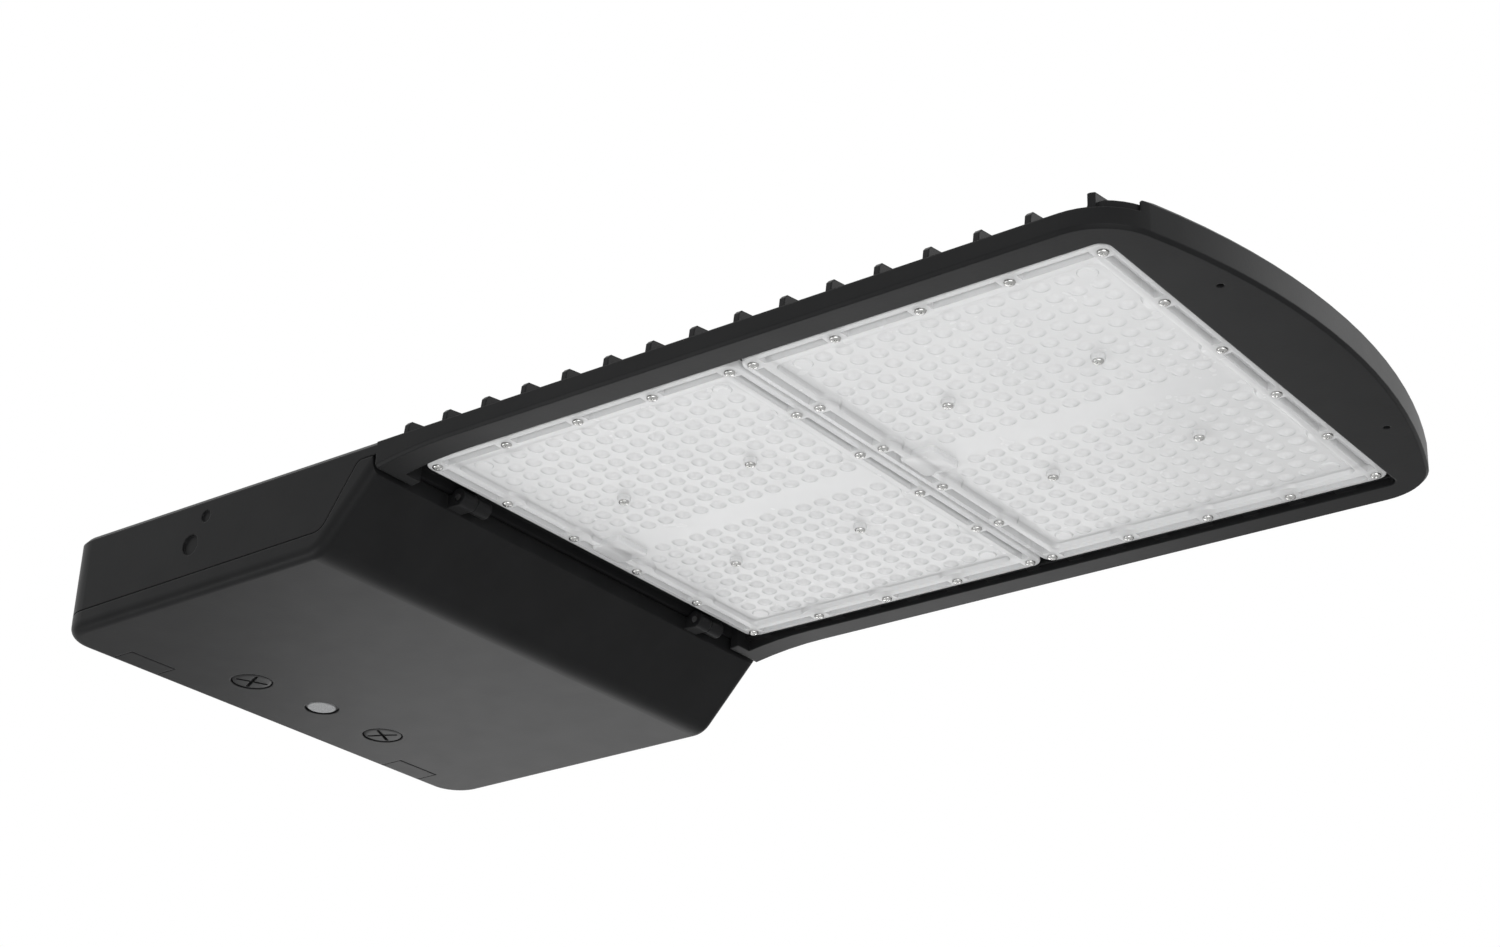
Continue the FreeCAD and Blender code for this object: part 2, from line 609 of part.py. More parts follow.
def pawl(side):
    """Cam arm on the stem's square end, turned clear of its keeper."""
    y = side * TURN_Y
    top = PAWL_BOTTOM + PAWL_THICK
    body = prism(TURN_X, y, PAWL_BOTTOM, top, 7)
    low, high = sorted((y, y + side * PAWL_REACH))
    body = body.fuse(span(TURN_X - 5, TURN_X + 5, low, high, PAWL_BOTTOM, top))
    half = TURN_SQUARE / 2
    return body.cut(span(TURN_X - half, TURN_X + half, y - half, y + half, -50, 0)).removeSplitter()


def keeper(side):
    """Steel strip under a cast shelf; the pawl turns over its free end."""
    y = side * TURN_Y
    top = PAWL_BOTTOM - KEEPER_GAP
    return span(BOX_WALL, KEEPER_REACH, y - KEEPER_HALF, y + KEEPER_HALF, top - KEEPER_THICK, top)


def keeper_screws():
    seat = PAWL_BOTTOM - KEEPER_GAP - KEEPER_THICK
    return group([screw(KEEPER_SHELF / 2 + 3, side * TURN_Y, seat, 3.2, seat + 8) for side in (-1, 1)])


def hinge_pin(gap):
    """Pin pressed into the housing's knuckle."""
    return rod(HINGE_X, HINGE_Z, gap - KNUCKLE + PIN_SET_IN, gap + KNUCKLE - PIN_SET_IN, HINGE_PIN)


def vent_body():
    z = door_bottom(VENT_X) + 1.2
    tube = prism(VENT_X, 0, z, VENT_BOSS, VENT_RADIUS - 0.4, VENT_SIDES)
    tube = tube.fuse(prism(VENT_X, 0, VENT_BOSS, VENT_BOSS + 1.5, VENT_RADIUS + 3))
    tube = tube.cut(prism(VENT_X, 0, -50, VENT_SEAT, VENT_DISC, VENT_SIDES))
    return tube.cut(prism(VENT_X, 0, -50, -30, VENT_DISC - 2.5)).removeSplitter()


def vent_disc():
    return prism(VENT_X, 0, door_bottom(VENT_X) + 0.1, VENT_SEAT, VENT_DISC - 0.05, VENT_SIDES)


# ---- optics ----
def rim_screw_points(centre):
    """Screws round the lens plate, starting at one corner."""
    points = [(centre + i * SCREW_STEP_X, s * SCREW_Y) for i in range(-2, 3) for s in (-1, 1)]
    steps = (-1.5, -0.5, 0.5, 1.5)
    return points + [(centre + s * SCREW_X, i * SCREW_STEP_Y) for i in steps for s in (-1, 1)]


def board_screw_points(centre):
    dx, dy = BOARD_SCREW
    return [(centre + i * dx, j * dy) for i in (-1, 1) for j in (-1, 1)]


def plate_block(centre, half_x, half_y, radius, z0, z1):
    return plan_prism([(centre - half_x, -half_y, radius), (centre + half_x, -half_y, radius),
                       (centre + half_x, half_y, radius), (centre - half_x, half_y, radius)],
                      z0, z1)


def lens_plate(centre):
    """Moulded lens plate: screw bosses, a channelled flange and a sunken optical field."""
    body = plate_block(centre, *MODULE_HALF, MODULE_CORNER, LENS_FACE, FLANGE_BACK)
    field = plate_block(centre, *FIELD_HALF, 0, LENS_FACE - 1, FIELD_FACE)
    bosses = [prism(x, y, LENS_FACE - 2, BIG, BOSS_RADIUS) for x, y in rim_screw_points(centre)]
    body = body.cut(field.cut(bosses))
    body = body.cut(plate_block(centre, *SPACE_HALF, 0, FIELD_BACK, FLANGE_BACK + 1))
    body = body.cut(flange_grooves(centre))
    inside = FIELD_FACE + 0.5
    start, end, half, face = WIRE_BUMP
    adds = [span(centre + start, centre + end, -half, half, face, inside)]
    adds += [prism(x, y, LENS_FACE + 0.1, inside, SCREW_PAD, 6) for x, y in board_screw_points(centre)]
    dx, dy, radius, height = CORNER_PAD
    adds += [prism(centre + i * dx, j * dy, FIELD_FACE - height, inside, radius, 6)
             for i in (-1, 1) for j in (-1, 1)]
    return body.multiFuse(adds).removeSplitter()


def flange_grooves(centre):
    """Channels between the screw bosses, along the sides and the ends of the flange."""
    grooves = []
    for s in (-1, 1):
        inner, outer, half = SIDE_GROOVE
        low, high = sorted((s * inner, s * outer))
        for i in (-1.5, -0.5, 0.5, 1.5):
            x = centre + i * SCREW_STEP_X
            grooves.append(span(x - half, x + half, low, high, LENS_FACE - 1, GROOVE_TOP))
        inner, outer, half = END_GROOVE
        low, high = sorted((centre + s * inner, centre + s * outer))
        for i in range(-2, 3):
            y = i * SCREW_STEP_Y
            grooves.append(span(low, high, y - half, y + half, LENS_FACE - 1, GROOVE_TOP))
    return grooves


def led_board(centre):
    return plate_block(centre, *BOARD_HALF, 0, FLANGE_BACK - 0.1, PLATE_BOTTOM)


def lens_gasket(centre):
    half_x, half_y = SEAL_OUTER
    outer = plate_block(centre, half_x, half_y, 0, FLANGE_BACK, PLATE_BOTTOM)
    return ring(outer, plate_block(centre, half_x - SEAL_WIDTH, half_y - SEAL_WIDTH, 0, 0, BIG))


def screw(x, y, seat, head, tip):
    """Pan-head screw whose head hangs below its seat."""
    body = prism(x, y, seat - 1.6, seat, head, 6)
    return body.fuse(prism(x, y, seat, tip, 1.5, 4))


def group(solids):
    return Part.makeCompound(solids)


# ---- electrics ----
def led_driver(side):
    """Potted driver with a screw ear at each end."""
    y = side * DRIVER_Y
    hx, hy = DRIVER_HALF
    can = span(DRIVER_X - hx + 12, DRIVER_X + hx - 12, y - hy, y + hy, PAD_FACE - DRIVER_HEIGHT,
               PAD_FACE)
    ears = span(DRIVER_X - hx, DRIVER_X + hx, y - hy + 8, y + hy - 8, PAD_FACE - 2, PAD_FACE)
    return can.fuse(ears).removeSplitter()


def driver_screws():
    pieces = []
    for side in (-1, 1):
        for end in (-1, 1):
            x = DRIVER_X + end * (DRIVER_HALF[0] - 6)
            for step in (-1, 1):
                pieces.append(screw(x, side * DRIVER_Y + step * 15, PAD_FACE - 2, 3.4,
                                    PAD_FACE + 4))
    return group(pieces)


def hung_block(x, size):
    """Block under a centre pad; size is length, width and height."""
    length, width, height = size
    return span(x - length / 2, x + length / 2, -width / 2, width / 2, PAD_FACE - height, PAD_FACE)


def surge_protector():
    return hung_block(CENTRE_PADS[1], SURGE_SIZE)


def terminal_block():
    """Three-way block with wire mouths on both long sides and a screw well over each way."""
    x = CENTRE_PADS[0]
    mouths = []
    for y in (-WIRE_PITCH, 0.0, WIRE_PITCH):
        for side in (-1, 1):
            low, high = sorted((x + side * 3, x + side * 11))
            mouths.append(span(low, high, y - 4, y + 4, PAD_FACE - 14, PAD_FACE - 6))
        mouths.append(prism(x, y, PAD_FACE - TERMINAL_SIZE[2] - 1, PAD_FACE - 16, 3))
    return hung_block(x, TERMINAL_SIZE).cut(mouths).removeSplitter()


def ground_screw():
    return screw(*GROUND_SCREW, GROUND_SEAT, 4.5, BOX_CROWN - 4)


# ---- write every piece ----
def write(node, shape):
    shape = shape.copy()
    shape.translate(Vector(0, 0, MOUNT_DROP))
    if not shape.isValid():
        print("not valid:", node)
    print(node, "solids", len(shape.Solids), "volume", round(shape.Volume))
    shape.exportStep("parts/" + node + ".step")


def main():
    os.makedirs("parts", exist_ok=True)
    write("housing", housing())
    write("door", door())
    write("door_gasket", door_gasket())
    write("vent_body", vent_body())
    write("vent_disc", vent_disc())
    write("driver_screws", driver_screws())
    write("surge_protector", surge_protector())
    write("terminal_block", terminal_block())
    write("ground_screw", ground_screw())
    write("keeper_screws", keeper_screws())
    for word, side in (("near", -1), ("far", 1)):
        write("quarter_turn_" + word, quarter_turn(side))
        write("pawl_" + word, pawl(side))
        write("keeper_" + word, keeper(side))
        write("latch_tab_" + word, latch_tab(side))
        write("latch_pin_" + word, latch_pin(side))
        write("led_driver_" + word, led_driver(side))
    for word, gap in zip(("near", "far"), HINGE_GAPS):
        write("hinge_pin_" + word, hinge_pin(gap))
    for word, centre in MODULE_CENTRES.items():
        write("lens_plate_" + word, lens_plate(centre))
        write("led_board_" + word, led_board(centre))
        write("lens_gasket_" + word, lens_gasket(centre))
        write("lens_screws_" + word, group([screw(x, y, LENS_FACE, 3.2, 12.5)
                                            for x, y in rim_screw_points(centre)]))
        write("board_screws_" + word, group([screw(x, y, LENS_FACE + 0.1, 3.0, 12.5)
                                             for x, y in board_screw_points(centre)]))


main()
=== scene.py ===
import bpy
from math import pi, sin, cos, sqrt, atan2, radians
from mathutils import Vector, Matrix

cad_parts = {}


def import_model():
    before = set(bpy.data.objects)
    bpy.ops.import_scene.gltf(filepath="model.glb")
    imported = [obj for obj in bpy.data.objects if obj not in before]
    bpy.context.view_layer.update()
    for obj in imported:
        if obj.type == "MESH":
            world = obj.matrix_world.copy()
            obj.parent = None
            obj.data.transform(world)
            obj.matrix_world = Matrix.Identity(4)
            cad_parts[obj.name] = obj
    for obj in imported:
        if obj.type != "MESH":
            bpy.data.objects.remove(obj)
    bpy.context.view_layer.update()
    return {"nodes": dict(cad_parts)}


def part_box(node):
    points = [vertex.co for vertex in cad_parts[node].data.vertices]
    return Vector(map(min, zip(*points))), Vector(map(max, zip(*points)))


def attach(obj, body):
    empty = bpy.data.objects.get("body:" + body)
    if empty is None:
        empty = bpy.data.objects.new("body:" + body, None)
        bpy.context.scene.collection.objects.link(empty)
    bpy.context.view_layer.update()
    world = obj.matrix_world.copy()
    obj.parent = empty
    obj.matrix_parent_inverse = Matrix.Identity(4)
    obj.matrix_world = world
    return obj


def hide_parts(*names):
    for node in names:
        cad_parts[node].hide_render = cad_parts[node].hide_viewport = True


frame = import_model()

MM = 0.001

# ---- camera, in the part's own frame (metres) ----
CAMERA_PLACE = Vector((1.189, -1.044, -0.588))
CAMERA_RIGHT = Vector((0.795730, 0.604735, 0.033310))
CAMERA_DOWN = Vector((-0.234630, 0.358505, -0.903561))
CAMERA_FORWARD = Vector((-0.558357, 0.711175, 0.427162))
SENSOR_WIDTH = 36.0
LENS_LENGTH = 64.09

# ---- stage ----
FLOOR_HEIGHT = -0.80
FLOOR_HALF = 7.0
FLOOR_COLOUR = (0.80, 0.80, 0.80, 1.0)
WORLD_FILL = 0.50

# ---- lens plate, millimetres, measured down from its back face ----
PLATE_HALF = (104.0, 145.0)
PLATE_FACE = 5.0            # underside of the flange
PLATE_LIP = 0.9             # rounding of the plate's lower edge
PLATE_CORNER = 8.0
POCKET_HALF = (91.0, 131.5)
POCKET_CORNER = 5.0
POCKET_FLOOR = 2.3
BOSS_RADIUS = 10.0
BOSS_FILLET = 4.5
SCREW_X = 97.8
SCREW_Y = 138.7
SCREW_STEP_X = 48.9
SCREW_STEP_Y = 55.5
GROOVE_WIDE = 5.0
GROOVE_SHIFT = 1.6          # narrows the end grooves on their outer side
GROOVE_INSIDE = 2.4         # from the line of screws to a groove's inner side
GROOVE_OUTSIDE = 3.0        # and to the outer side of the long sides' grooves
GROOVE_DRAFT = 0.7
GROOVE_FLOOR = 1.0
GROOVE_CLEAR = 5.4          # groove ends this far from a screw's centre
BACK_POCKET = (89.5, 130.0, 0.7)   # half sizes and depth
DOME_RADIUS = 4.3
DOME_RISE = 1.6
DOME_FOOT = 0.5             # width of the fillet round a dome
DOME_STEPS = 20
DOME_PITCH_X = 12.3
DOME_PITCH_Y = 12.0
DOME_FIRST_Y = 14.0
DOME_COLUMNS = 14
DOME_ROWS = 10
BOARD_SCREW = (43.05, 50.0)
BOARD_BOSS = 3.5
CORNER_PAD = (80.0, 122.0, 5.0, 0.8)   # place, radius and rise
WIRE_BUMP = (-98.5, -77.0, 13.0, 5.7)  # both ends, half width, depth from the back face

# ---- boards and screws, millimetres ----
LED_HALF = 1.5
LED_HEIGHT = 0.5
BOARD_HOLE = 1.7
RIM_HEAD = 2.9
BOARD_HEAD = 2.9
HEAD_HEIGHT = 1.6
SHANK_RADIUS = 1.5
SCREW_TIP = 9.0
SLOT_HALF = 0.42            # half width of a screw's cross recess
HEAD_TURNS = 3              # kinds of screw, each turned further than the last

# ---- quarter-turn fastener, millimetres and degrees ----
TURN_SQUARE = 2.8
TURN_SLOT_REACH = 8.6
TURN_SLOT_HALF = 1.1
TURN_SLOT_LEAN = 26

# ---- sockets of the colour mix node ----
MIX_FIRST = 6
MIX_SECOND = 7
MIX_RESULT = 2


# ---- mesh helpers ----
def new_mesh(name, verts, faces):
    """Mesh from lists of vertices and faces."""
    mesh = bpy.data.meshes.new(name)
    mesh.from_pydata([tuple(v) for v in verts], [], faces)
    mesh.validate()
    mesh.update()
    return mesh


def new_object(name, mesh):
    """Object that holds a mesh, linked into the scene."""
    piece = bpy.data.objects.new(name, mesh)
    bpy.context.scene.collection.objects.link(piece)
    return piece


def loft(rings):
    """Closed solid through rings of equal length, capped at both ends."""
    count = len(rings[0])
    verts = [p for ring in rings for p in ring]
    faces = [tuple(range(count))[::-1]]
    for k in range(len(rings) - 1):
        a, b = k * count, (k + 1) * count
        for i in range(count):
            j = (i + 1) % count
            faces.append((a + i, a + j, b + j, b + i))
    last = (len(rings) - 1) * count
    faces.append(tuple(range(last, last + count)))
    return verts, faces


def join(parts):
    """One list of vertices and faces from several."""
    verts, faces = [], []
    for part_verts, part_faces in parts:
        base = len(verts)
        verts += list(part_verts)
        faces += [tuple(base + i for i in face) for face in part_faces]
    return verts, faces


def circle(x, y, z, radius, steps):
    """Level ring of points."""
    turns = [2 * pi * i / steps for i in range(steps)]
    return [(x + radius * cos(a), y + radius * sin(a), z) for a in turns]


def lathe(x, y, profile, steps=24):
    """Solid of revolution about an upright axis; profile is (radius, z) pairs."""
    return loft([circle(x, y, z, radius, steps) for radius, z in profile])


def rounded_rect(hx, hy, radius, steps=6):
    """Outline of a rectangle with rounded corners, about the origin."""
    points = []
    corners = [(hx - radius, hy - radius, 0), (radius - hx, hy - radius, 1),
               (radius - hx, radius - hy, 2), (hx - radius, radius - hy, 3)]
    for cx, cy, quarter in corners:
        for i in range(steps + 1):
            a = (quarter + i / steps) * pi / 2
            points.append((cx + radius * cos(a), cy + radius * sin(a)))
    return points


def at_height(outline, z, cx=0.0, cy=0.0):
    """Flat outline as a ring of points at one height."""
    return [(cx + x, cy + y, z) for x, y in outline]


def block(x0, x1, y0, y1, z0, z1, draft=0.0):
    """Box from z0 up to z1; draft narrows its upper end on every side."""
    low = [(x0, y0), (x1, y0), (x1, y1), (x0, y1)]
    high = [(x0 + draft, y0 + draft), (x1 - draft, y0 + draft),
            (x1 - draft, y1 - draft), (x0 + draft, y1 - draft)]
    return loft([at_height(low, z0), at_height(high, z1)])


def soft_block(x0, x1, y0, y1, z0, z1, radius=2.0, edge=0.6):
    """Box with rounded upright corners and eased top and bottom edges."""
    hx, hy = (x1 - x0) / 2, (y1 - y0) / 2
    cx, cy = (x0 + x1) / 2, (y0 + y1) / 2
    rings = []
    for inset, z in ((edge, z0), (edge * 0.3, z0 + edge * 0.3), (0.0, z0 + edge),
                     (0.0, z1 - edge), (edge * 0.3, z1 - edge * 0.3), (edge, z1)):
        outline = rounded_rect(hx - inset, hy - inset, max(radius - inset, 0.2))
        rings.append(at_height(outline, z, cx, cy))
    return loft(rings)


def combine(base, others, operation):
    """Boolean of one closed mesh with another, both given as lists."""
    first = new_object("working_base", new_mesh("working_base", *base))
    second = new_object("working_tool", new_mesh("working_tool", *others))
    step = first.modifiers.new("step", "BOOLEAN")
    step.operation = operation
    step.solver = "MANIFOLD"
    step.object = second
    bpy.context.view_layer.update()
    graph = bpy.context.evaluated_depsgraph_get()
    result = bpy.data.meshes.new_from_object(first.evaluated_get(graph))
    verts = [tuple(v.co) for v in result.vertices]
    faces = [tuple(p.vertices) for p in result.polygons]
    for item in (first, second):
        old = item.data
        bpy.data.objects.remove(item)
        bpy.data.meshes.remove(old)
    bpy.data.meshes.remove(result)
    return verts, faces


def finish_piece(name, shape, material, place, smooth=32.0):
    """Turns lists in millimetres into a scene object in metres."""
    verts = [(place[0] + x * MM, place[1] + y * MM, place[2] + z * MM) for x, y, z in shape[0]]
    mesh = new_mesh(name, verts, shape[1])
    mesh.shade_smooth()
    mesh.set_sharp_from_angle(angle=radians(smooth))
    mesh.materials.append(material)
    return new_object(name, mesh)


# ---- materials ----
class Nodes:
    """Small helper that builds one node material."""

    def __init__(self, name):
        self.material = bpy.data.materials.new(name)
        self.material.use_nodes = True
        self.tree = self.material.node_tree
        self.surface = self.tree.nodes["Principled BSDF"]
        self.place = self.add("ShaderNodeTexCoord").outputs["Object"]

    def add(self, kind, **values):
        node = self.tree.nodes.new(kind)
        for key, value in values.items():
            setattr(node, key, value)
        return node

    def link(self, start, end):
        self.tree.links.new(start, end)

    def noise(self, scale, detail=2.0, rough=0.5, stretch=None):
        """Noise over the piece, drawn out along an axis where stretch says so."""
        node = self.add("ShaderNodeTexNoise")
        node.inputs["Scale"].default_value = scale
        node.inputs["Detail"].default_value = detail
        node.inputs["Roughness"].default_value = rough
        start = self.place
        if stretch:
            mapping = self.add("ShaderNodeMapping")
            mapping.inputs["Scale"].default_value = stretch
            self.link(start, mapping.inputs["Vector"])
            start = mapping.outputs["Vector"]
        self.link(start, node.inputs["Vector"])
        return node.outputs["Fac"]

    def spread(self, value, low, high):
        """Spreads the middle of a noise over a range."""
        node = self.add("ShaderNodeMapRange")
        node.inputs["From Min"].default_value = 0.3
        node.inputs["From Max"].default_value = 0.7
        node.inputs["To Min"].default_value = low
        node.inputs["To Max"].default_value = high
        self.link(value, node.inputs["Value"])
        return node.outputs["Result"]

    def blend(self, factor, first, second):
        """Mix of two colours."""
        node = self.add("ShaderNodeMix", data_type="RGBA")
        self.link(factor, node.inputs["Factor"])
        node.inputs[MIX_FIRST].default_value = (*first, 1.0)
        node.inputs[MIX_SECOND].default_value = (*second, 1.0)
        return node.outputs[MIX_RESULT]

    def bump(self, height, strength, distance, before=None):
        node = self.add("ShaderNodeBump")
        node.inputs["Strength"].default_value = strength
        node.inputs["Distance"].default_value = distance
        self.link(height, node.inputs["Height"])
        if before:
            self.link(before, node.inputs["Normal"])
        return node.outputs["Normal"]

    def rounded(self, radius):
        """Normal that looks rounded at the edges."""
        node = self.add("ShaderNodeBevel", samples=6)
        node.inputs["Radius"].default_value = radius
        return node.outputs["Normal"]

    def set(self, socket, value):
        """Sets a value on the surface, or links a node's output to it."""
        if isinstance(value, (int, float, tuple)):
            self.surface.inputs[socket].default_value = value
        else:
            self.link(value, self.surface.inputs[socket])


def powder_coat(name, dark, light, rough, edge):
    """Satin powder coat: orange peel, a fine speckle and slightly uneven gloss."""
    m = Nodes(name)
    m.set("Base Color", m.blend(m.spread(m.noise(38.0, 4.0), 0.0, 1.0), dark, light))
    m.set("Roughness", m.spread(m.noise(55.0, 3.0), rough - 0.01, rough + 0.01))
    m.set("Specular IOR Level", 0.11)
    normal = m.bump(m.noise(620.0, 1.0), 0.35, 0.00006, m.rounded(edge))
    m.set("Normal", m.bump(m.noise(2600.0, 1.0), 0.25, 0.00002, normal))
    return m.material


def lens_plastic():
    """Clear moulded acrylic: part of what is behind it shows through each face."""
    m = Nodes("lens_acrylic")
    m.set("Base Color", m.blend(m.spread(m.noise(16.0, 3.0), 0.0, 1.0),
                                (0.885, 0.890, 0.895), (0.920, 0.924, 0.928)))
    m.set("Roughness", m.spread(m.noise(90.0, 2.0), 0.20, 0.28))
    m.set("IOR", 1.49)
    m.set("Alpha", 0.6)
    m.set("Normal", m.bump(m.noise(110.0, 1.0), 0.20, 0.00010, m.rounded(0.0004)))
    return m.material


def plastic(name, dark, light, rough, grain):
    """Moulded plastic or rubber with a fine grain."""
    m = Nodes(name)
    m.set("Base Color", m.blend(m.spread(m.noise(120.0, 3.0), 0.0, 1.0), dark, light))
    m.set("Roughness", m.spread(m.noise(60.0, 2.0), rough - 0.05, rough + 0.05))
    m.set("Normal", m.bump(m.noise(grain, 2.0), 0.5, 0.00005, m.rounded(0.0004)))
    return m.material


def metal(name, dark, light, rough, stretch):
    """Plated or machined metal with fine drawn lines."""
    m = Nodes(name)
    m.set("Base Color", m.blend(m.spread(m.noise(260.0, 3.0), 0.0, 1.0), dark, light))
    m.set("Metallic", 1.0)
    m.set("Roughness", m.spread(m.noise(400.0, 2.0, stretch=stretch), rough - 0.06, rough + 0.08))
    m.set("Normal", m.bump(m.noise(900.0, 1.0, stretch=stretch), 0.25, 0.00003, m.rounded(0.0003)))
    return m.material


def grainy_disc():
    """Sintered breathing disc."""
    m = Nodes("vent_grain")
    grain = m.noise(1500.0, 3.0, 0.7)
    m.set("Base Color", m.blend(m.spread(grain, 0.0, 1.0), (0.20, 0.205, 0.21), (0.46, 0.465, 0.47)))
    m.set("Roughness", 0.85)
    m.set("Normal", m.bump(grain, 0.7, 0.0002))
    return m.material


def circuit_board():
    """White solder mask with faint copper tracks."""
    m = Nodes("board_white")
    m.set("Base Color", m.blend(m.spread(m.noise(300.0, 2.0, stretch=(0.2, 1.0, 1.0)), 0.0, 1.0),
                                (0.88, 0.885, 0.88), (0.93, 0.935, 0.93)))
    m.set("Roughness", 0.45)
    m.set("Normal", m.bump(m.noise(700.0, 1.0), 0.2, 0.00002))
    return m.material


COAT = powder_coat("dark_coat", (0.0088, 0.0090, 0.0094), (0.0110, 0.0112, 0.0116), 0.42, 0.0011)
LENS = lens_plastic()
RUBBER = plastic("seal_black", (0.012, 0.012, 0.012), (0.022, 0.022, 0.022), 0.75, 900.0)
BLACK = plastic("moulded_black", (0.018, 0.018, 0.019), (0.030, 0.030, 0.031), 0.5, 1400.0)
WHITE_CAN = plastic("driver_white", (0.62, 0.63, 0.63), (0.70, 0.71, 0.71), 0.45, 700.0)
STEEL = metal("bright_plated", (0.50, 0.50, 0.49), (0.68, 0.68, 0.67), 0.24, (1.0, 1.0, 0.2))
PIN_STEEL = metal("pin_plated", (0.50, 0.50, 0.50), (0.66, 0.66, 0.66), 0.34, (1.0, 0.1, 1.0))
DARK_STEEL = powder_coat("turn_coat", (0.0085, 0.0087, 0.0090), (0.0110, 0.0112, 0.0116), 0.40, 0.0005)
VENT = grainy_disc()
BOARD = circuit_board()
LED = plastic("led_package", (0.66, 0.64, 0.58), (0.76, 0.74, 0.68), 0.35, 1800.0)


def dress(node, material):
    """Gives a CAD node a finished material."""
    for slot in frame["nodes"][node].material_slots:
        slot.material = material


# ---- lens plates ----
def pocket_side(bumps, distance, offset):
    """Wall with bosses bulging in, as (along, inward) points."""
    radius, fillet = BOSS_RADIUS, BOSS_FILLET
    reach = sqrt((radius + fillet) ** 2 - (distance + fillet) ** 2)
    lean = atan2(distance + fillet, reach)
    points = []
    for centre in bumps:
        for i in range(6):
            a = -pi / 2 + (pi / 2 - lean) * i / 5
            points.append((centre - reach + (fillet - offset) * cos(a),
                           fillet + (fillet - offset) * sin(a)))
        for i in range(1, 8):
            a = pi - lean - (pi - 2 * lean) * i / 8
            points.append((centre + (radius + offset) * cos(a),
                           -distance + (radius + offset) * sin(a)))
        for i in range(6):
            a = -pi + lean + (pi / 2 - lean) * i / 5
            points.append((centre + reach + (fillet - offset) * cos(a),
                           fillet + (fillet - offset) * sin(a)))
    return points


def pocket_outline(offset):
    """Pocket edge moved inwards by offset, counter-clockwise."""
    hx, hy = POCKET_HALF
    corner = POCKET_CORNER - min(offset, POCKET_CORNER - 1.0)
    long_bumps = [i * SCREW_STEP_Y for i in (-1.5, -0.5, 0.5, 1.5)]
    short_bumps = [i * SCREW_STEP_X for i in (-1, 0, 1)]
    on_long = pocket_side(long_bumps, SCREW_X - hx, offset)
    on_short = pocket_side(short_bumps, SCREW_Y - hy, offset)
    turns = [lambda t, n: (hx - n, t), lambda t, n: (-t, hy - n),
             lambda t, n: (n - hx, -t), lambda t, n: (t, n - hy)]
    outline = []
    for quarter in range(4):
        side = on_long if quarter % 2 == 0 else on_short
        outline += [turns[quarter](t, n) for t, n in side]
        cx = (hx - offset - corner) * (1 if quarter in (0, 3) else -1)
        cy = (hy - offset - corner) * (1 if quarter in (0, 1) else -1)
        for i in range(7):
            a = (quarter + i / 6) * pi / 2
            outline.append((cx + corner * cos(a), cy + corner * sin(a)))
    return outline


def rim_screws():
    """Screw places round one plate, from its centre."""
    points = [(i * SCREW_STEP_X, s * SCREW_Y) for i in range(-2, 3) for s in (-1, 1)]
    return points + [(s * SCREW_X, i * SCREW_STEP_Y) for i in (-1.5, -0.5, 0.5, 1.5)
                     for s in (-1, 1)]


def board_screws():
    """Places of the screws that hold the board, from the plate's centre."""
    return [(i * BOARD_SCREW[0], j * BOARD_SCREW[1]) for i in (-1, 1) for j in (-1, 1)]


def dome_places():
    """Optics in rows, leaving room for the corner pads, the wire bump and the board screws."""
    places = []
    for i in range(DOME_COLUMNS):
        x = (i - (DOME_COLUMNS - 1) / 2) * DOME_PITCH_X
        for k in range(DOME_ROWS):
            for side in (-1, 1):
                y = side * (DOME_FIRST_Y + k * DOME_PITCH_Y)
                at_corner = i in (0, DOME_COLUMNS - 1) and k == DOME_ROWS - 1
                at_bump = i == 0 and k == 0
                at_screw = abs(abs(x) - BOARD_SCREW[0]) < 1 and abs(abs(y) - BOARD_SCREW[1]) < 1
                if not (at_corner or at_bump or at_screw):
                    places.append((x, y))
    return places


def dome(x, y):
    """Moulded optic: a crowned cap with a small fillet where it meets the field."""
    radius = (DOME_RADIUS ** 2 + DOME_RISE ** 2) / (2 * DOME_RISE)
    top = atan2(DOME_RADIUS, radius - DOME_RISE)
    rings = [circle(x, y, -POCKET_FLOOR + 0.4, DOME_RADIUS + DOME_FOOT, DOME_STEPS),
             circle(x, y, -POCKET_FLOOR - 0.02, DOME_RADIUS + DOME_FOOT, DOME_STEPS)]
    for i in range(7):
        a = top * (1 - i / 7)
        depth = radius * cos(a) - (radius - DOME_RISE)
        rings.append(circle(x, y, -POCKET_FLOOR - 0.12 - depth * 0.95, radius * sin(a), DOME_STEPS))
    rings.append(circle(x, y, -POCKET_FLOOR - DOME_RISE, 0.35, DOME_STEPS))
    return loft(rings[::-1])


def plate_body():
    """The plate with its rounded lower edge and the pocket over the field."""
    hx, hy = PLATE_HALF
    rings = []
    for inset, depth in ((PLATE_LIP, PLATE_FACE), (PLATE_LIP * 0.3, PLATE_FACE - PLATE_LIP * 0.3),
                         (0.0, PLATE_FACE - PLATE_LIP), (0.0, 0.0)):
        outline = rounded_rect(hx - inset, hy - inset, PLATE_CORNER - inset, 8)
        rings.append(at_height(outline, -depth))
    pocket = []
    for offset, depth in ((-0.5, PLATE_FACE + 1), (-0.5, PLATE_FACE), (-0.15, PLATE_FACE - 0.15),
                          (0.0, PLATE_FACE - 0.5), (0.7, POCKET_FLOOR + 0.6),
                          (1.0, POCKET_FLOOR + 0.2), (1.6, POCKET_FLOOR)):
        pocket.append(at_height(pocket_outline(offset), -depth))
    return combine(loft(rings), loft(pocket), "DIFFERENCE")


